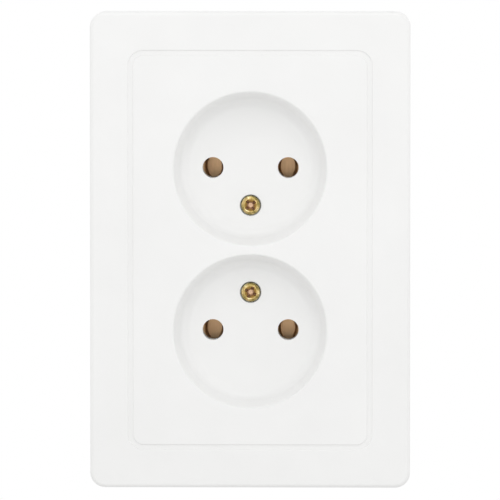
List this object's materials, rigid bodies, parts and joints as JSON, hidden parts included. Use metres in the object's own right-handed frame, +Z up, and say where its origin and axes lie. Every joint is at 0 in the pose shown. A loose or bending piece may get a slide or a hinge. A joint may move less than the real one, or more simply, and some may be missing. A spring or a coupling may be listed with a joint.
{
  "type": "double wall socket",
  "caption": "Vertical double wall socket with round wells: white one-piece cover over a flush mechanism with brass contacts, a steel support ring and spreading claws.",
  "frame": {"origin": "centre of the support ring's rear face, on the wall's surface", "axes": "+Y into the wall, +Z up along the cover's long side, +X to the right of someone who faces the wall"},
  "size_m": [0.0806, 0.0346, 0.1198],
  "materials": {
    "cover_white": "smooth moulded white plastic with a soft gloss",
    "housing_ivory": "matte ivory thermoset moulding",
    "guide_white": "matte white moulded plastic",
    "zinc_steel": "bright zinc-plated sheet steel with rolling marks",
    "screw_steel": "bright zinc-plated turned steel",
    "contact_brass": "rolled brass strip, slightly dulled",
    "yellow_passivated": "yellow-passivated zinc on steel"
  },
  "bodies": {
    "root": {"front_cover": "cover_white", "support_ring": "zinc_steel", "base_housing": "housing_ivory", "pin_guide_plate": "guide_white", "contact_strip_left": "contact_brass", "contact_strip_right": "contact_brass", "cover_screw_upper": "yellow_passivated", "cover_screw_lower": "yellow_passivated", "base_screw_left": "screw_steel", "base_screw_right": "screw_steel", "claw_pin_left": "screw_steel", "claw_pin_right": "screw_steel"},
    "claw_left_body": {"claw_left": "zinc_steel"},
    "claw_nut_left_body": {"claw_nut_left": "zinc_steel"},
    "claw_screw_left_body": {"claw_screw_left": "screw_steel"},
    "terminal_upper_left_body": {"terminal_screw_upper_left": "screw_steel", "terminal_clamp_upper_left": "zinc_steel"},
    "terminal_lower_left_body": {"terminal_screw_lower_left": "screw_steel", "terminal_clamp_lower_left": "zinc_steel"},
    "claw_right_body": {"claw_right": "zinc_steel"},
    "claw_nut_right_body": {"claw_nut_right": "zinc_steel"},
    "claw_screw_right_body": {"claw_screw_right": "screw_steel"},
    "terminal_upper_right_body": {"terminal_screw_upper_right": "screw_steel", "terminal_clamp_upper_right": "zinc_steel"},
    "terminal_lower_right_body": {"terminal_screw_lower_right": "screw_steel", "terminal_clamp_lower_right": "zinc_steel"}
  },
  "joints": [
    {"name": "claw_screw_left_turn", "type": "hinge", "parent": "root", "child": "claw_screw_left_body", "pos_m": [-0.02456, -0.001, 0], "axis": [0, 1, 0], "range_deg": [0, 1714.6]},
    {"name": "claw_nut_left_slide", "type": "slide", "parent": "root", "child": "claw_nut_left_body", "axis": [0, -1, 0], "range_m": [0, 0.00238]},
    {"name": "claw_left_swing", "type": "hinge", "parent": "root", "child": "claw_left_body", "pos_m": [-0.02, 0.0034, 0], "axis": [0, 0, 1], "range_deg": [0, 30.01]},
    {"name": "terminal_upper_left_slide", "type": "slide", "parent": "root", "child": "terminal_upper_left_body", "axis": [0, 1, 0], "range_m": [0, 0.0025]},
    {"name": "terminal_lower_left_slide", "type": "slide", "parent": "root", "child": "terminal_lower_left_body", "axis": [0, 1, 0], "range_m": [0, 0.0025]},
    {"name": "claw_screw_right_turn", "type": "hinge", "parent": "root", "child": "claw_screw_right_body", "pos_m": [0.02456, -0.001, 0], "axis": [0, 1, 0], "range_deg": [0, 1714.6]},
    {"name": "claw_nut_right_slide", "type": "slide", "parent": "root", "child": "claw_nut_right_body", "axis": [0, -1, 0], "range_m": [0, 0.00238]},
    {"name": "claw_right_swing", "type": "hinge", "parent": "root", "child": "claw_right_body", "pos_m": [0.02, 0.0034, 0], "axis": [0, 0, -1], "range_deg": [0, 30.01]},
    {"name": "terminal_upper_right_slide", "type": "slide", "parent": "root", "child": "terminal_upper_right_body", "axis": [0, 1, 0], "range_m": [0, 0.0025]},
    {"name": "terminal_lower_right_slide", "type": "slide", "parent": "root", "child": "terminal_lower_right_body", "axis": [0, 1, 0], "range_m": [0, 0.0025]}
  ],
  "couplings": [
    {"joint": "claw_screw_left_turn", "follows": "claw_nut_left_slide", "rad_per_m": 12566},
    {"joint": "claw_left_swing", "follows": "claw_nut_left_slide", "rad_per_m": 219.91},
    {"joint": "claw_screw_right_turn", "follows": "claw_nut_right_slide", "rad_per_m": 12566},
    {"joint": "claw_right_swing", "follows": "claw_nut_right_slide", "rad_per_m": 219.91}
  ]
}
